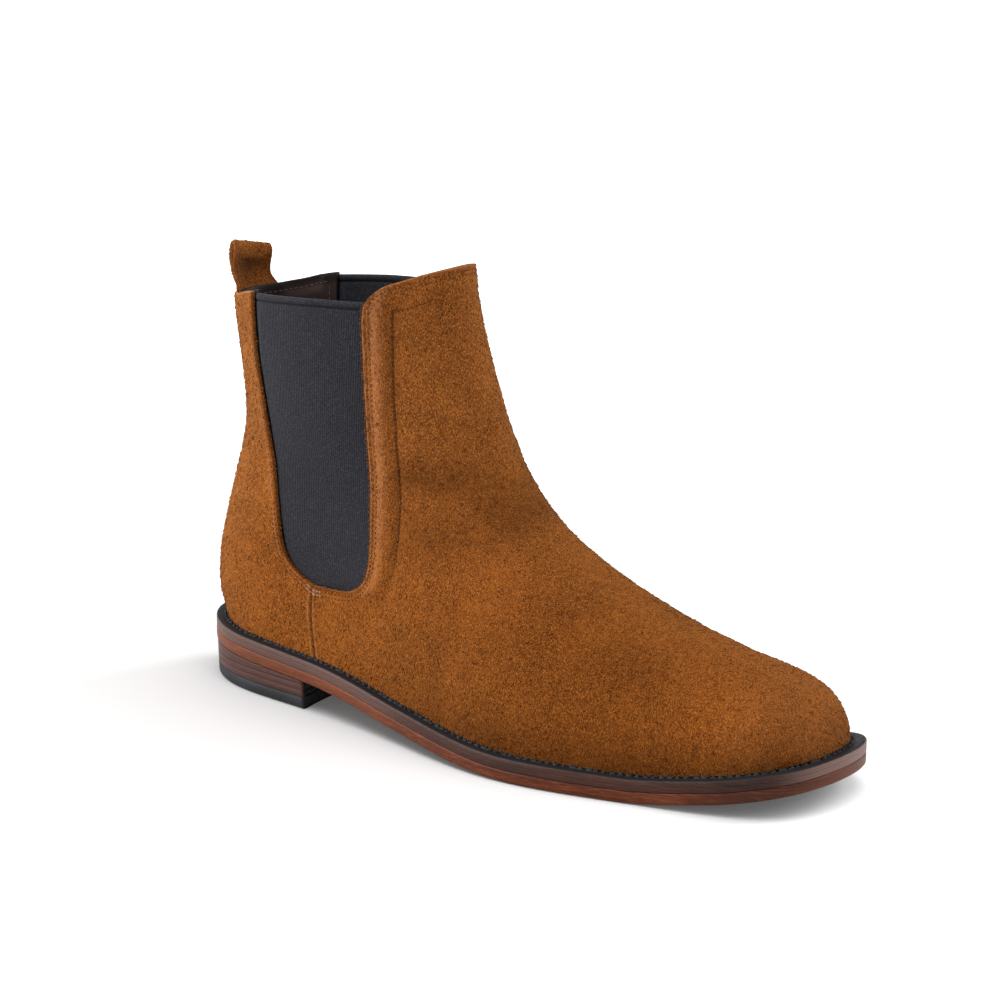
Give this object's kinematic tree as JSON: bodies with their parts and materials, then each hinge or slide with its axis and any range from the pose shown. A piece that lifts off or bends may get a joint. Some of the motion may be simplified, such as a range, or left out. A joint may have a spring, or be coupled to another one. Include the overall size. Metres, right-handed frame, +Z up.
{
  "type": "chelsea boot",
  "caption": "Ankle-high slip-on boot in suede with elastic side gores, a back pull tab, a welted leather sole and a low stacked heel.",
  "frame": {"origin": "on the floor, in the middle of the heel's flat bottom face", "axes": "+Z up, toe towards -Y, back of the heel towards +Y, medial (inner) side towards +X, lateral (outer) side towards -X"},
  "size_m": [0.1004, 0.3048, 0.1838],
  "materials": {
    "suede": "tan suede with a short nap",
    "elastic": "ribbed woven elastic",
    "lining_leather": "smooth dark brown leather",
    "welt_leather": "black leather, satin",
    "edge_leather": "grey-brown burnished edge",
    "sole_leather": "red-brown burnished edge",
    "stack_leather": "stacked leather, dark brown, streaked along the layers",
    "rubber": "black rubber, matt",
    "board": "fibre board",
    "cork": "cork paste",
    "thread": "waxed thread",
    "steel": "plain steel"
  },
  "bodies": {
    "boot": {"back_lining": "lining_leather", "back_panel": "suede", "cork_filler": "cork", "front_lining": "lining_leather", "front_panel": "suede", "gore_lateral": "elastic", "gore_medial": "elastic", "heel_counter": "board", "heel_lift_lower": "stack_leather", "heel_lift_upper": "stack_leather", "heel_nail_1": "steel", "heel_nail_2": "steel", "heel_nail_3": "steel", "heel_nail_4": "steel", "heel_nail_5": "steel", "heel_seat_lift": "stack_leather", "insole": "board", "midsole": "edge_leather", "outsole": "sole_leather", "pull_tab_root": "suede", "shank": "steel", "sock_liner": "lining_leather", "toe_puff": "board", "top_piece": "rubber", "top_piece_brad_1": "steel", "top_piece_brad_2": "steel", "top_piece_brad_3": "steel", "top_piece_brad_4": "steel", "top_piece_brad_5": "steel", "top_piece_brad_6": "steel", "top_piece_brad_7": "steel", "welt": "welt_leather", "welt_stitching": "thread"},
    "pull_tab": {"pull_tab": "suede"}
  },
  "joints": [
    {"name": "pull_tab_hinge", "type": "hinge", "parent": "boot", "child": "pull_tab", "pos_m": [0, 0.02253, 0.1636], "axis": [1, 0, 0], "range_deg": [-60, 20]}
  ]
}
